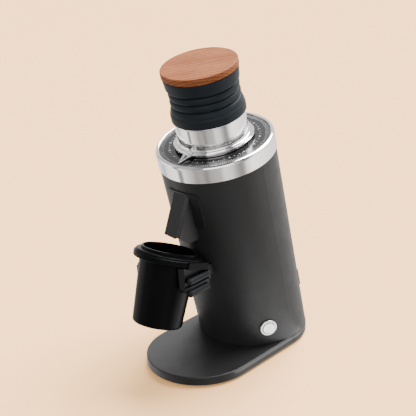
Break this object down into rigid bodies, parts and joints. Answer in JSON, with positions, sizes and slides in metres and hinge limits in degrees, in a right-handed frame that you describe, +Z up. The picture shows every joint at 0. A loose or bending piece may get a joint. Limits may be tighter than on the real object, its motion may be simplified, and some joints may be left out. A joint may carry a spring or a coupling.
{
  "type": "burr coffee grinder",
  "caption": "Burr coffee grinder: round column leaning over a long base plate, with a dial, a collar, a bellows with a wooden lid, a chute and a hanging cup.",
  "frame": {"origin": "on the table, under the middle of the whole grinder's outline", "axes": "+Z up, -Y the front where the cup hangs, +X the side with the power button"},
  "size_m": [0.122, 0.2272, 0.3251],
  "materials": {
    "painted_steel": "fine-textured powder coat",
    "painted_shell": "satin powder coat",
    "painted_metal": "satin powder coat",
    "polished_aluminium": "polished",
    "cast_aluminium": "as cast",
    "dial_black": "black anodised, pale marks",
    "steel": "machined",
    "brushed_steel": "brushed",
    "motor_steel": "electrical steel",
    "brass": "machined",
    "chrome": "mirror plated",
    "rubber": "matte",
    "soft_rubber": "matte",
    "silicone": "matte",
    "black_plastic": "fine-textured",
    "anodised_black": "satin black anodised",
    "board": "solder mask",
    "wood": "oiled walnut"
  },
  "bodies": {
    "column": {"base_plate": "painted_steel", "foot_front_left": "rubber", "foot_front_right": "rubber", "foot_rear_left": "rubber", "foot_rear_right": "rubber", "base_screws": "steel", "body_shell": "painted_shell", "outer_ring": "polished_aluminium", "dial_plate": "dial_black", "burr_chamber": "cast_aluminium", "chamber_screws": "steel", "thread_ring": "brass", "wave_spring": "steel", "shaft_seal": "rubber", "upper_bearing": "steel", "lower_bearing": "steel", "chute_plate": "painted_metal", "chute_plate_screws": "steel", "chute": "painted_metal", "declumper_flap": "silicone", "fork_bracket": "black_plastic", "fork_screws": "steel", "rest_pad_upper_left": "soft_rubber", "rest_pad_upper_right": "soft_rubber", "rest_pad_lower_left": "soft_rubber", "rest_pad_lower_right": "soft_rubber", "motor_flange": "cast_aluminium", "motor_flange_screws": "steel", "motor_can": "steel", "stator": "motor_steel", "motor_end_cap": "cast_aluminium", "circuit_board": "board", "board_standoffs": "brass", "board_components": "black_plastic", "power_inlet": "black_plastic", "inlet_pins": "steel", "inlet_screws": "steel", "switch_barrel": "brushed_steel", "switch_nut": "steel"},
    "turning_group": {"drive_shaft": "steel", "rotor_core": "motor_steel", "cooling_fan": "black_plastic", "lower_burr_carrier": "cast_aluminium", "lower_burr": "steel", "lower_burr_screws": "steel", "carrier_bolt": "steel"},
    "upper_burr_group": {"upper_burr_carrier": "cast_aluminium", "upper_burr": "steel", "upper_burr_screws": "steel"},
    "collar_group": {"adjustment_collar": "polished_aluminium", "bean_funnel": "black_plastic", "dial_pointer": "chrome"},
    "bellows_group": {"bellows": "silicone"},
    "lid_group": {"wooden_lid": "wood", "lid_plug": "black_plastic"},
    "cup_group": {"dosing_cup": "anodised_black", "cup_ring": "anodised_black"},
    "button_group": {"button_cap": "brushed_steel"}
  },
  "joints": [
    {"name": "burr_spin", "type": "hinge", "parent": "column", "child": "turning_group", "pos_m": [0, 0.00566, 0.237], "axis": [0, -0.2096, 0.9778], "continuous": true},
    {"name": "burr_rise", "type": "slide", "parent": "column", "child": "upper_burr_group", "axis": [0, -0.2096, 0.9778], "range_m": [-0.0003, 0.0012]},
    {"name": "adjust_turn", "type": "hinge", "parent": "upper_burr_group", "child": "collar_group", "pos_m": [0, 0.00566, 0.237], "axis": [0, -0.2096, 0.9778], "range_deg": [-60, 270]},
    {"name": "bellows_lift", "type": "slide", "parent": "collar_group", "child": "bellows_group", "axis": [0, -0.2096, 0.9778], "range_m": [0, 0.045]},
    {"name": "lid_press", "type": "slide", "parent": "bellows_group", "child": "lid_group", "axis": [0, -0.2096, 0.9778], "range_m": [-0.01, 0], "stiffness_N_per_m": 400, "springref_m": 0.002, "deforming": ["bellows"]},
    {"name": "cup_slide", "type": "slide", "parent": "column", "child": "cup_group", "axis": [0, -0.9466, 0.3223], "range_m": [0, 0.06]},
    {"name": "button_push", "type": "slide", "parent": "column", "child": "button_group", "axis": [-0.8746, 0.474, 0.1016], "range_m": [0, 0.0012], "stiffness_N_per_m": 800, "springref_m": -0.001}
  ],
  "couplings": [
    {"joint": "burr_rise", "follows": "adjust_turn", "m_per_rad": 0.00023873}
  ]
}
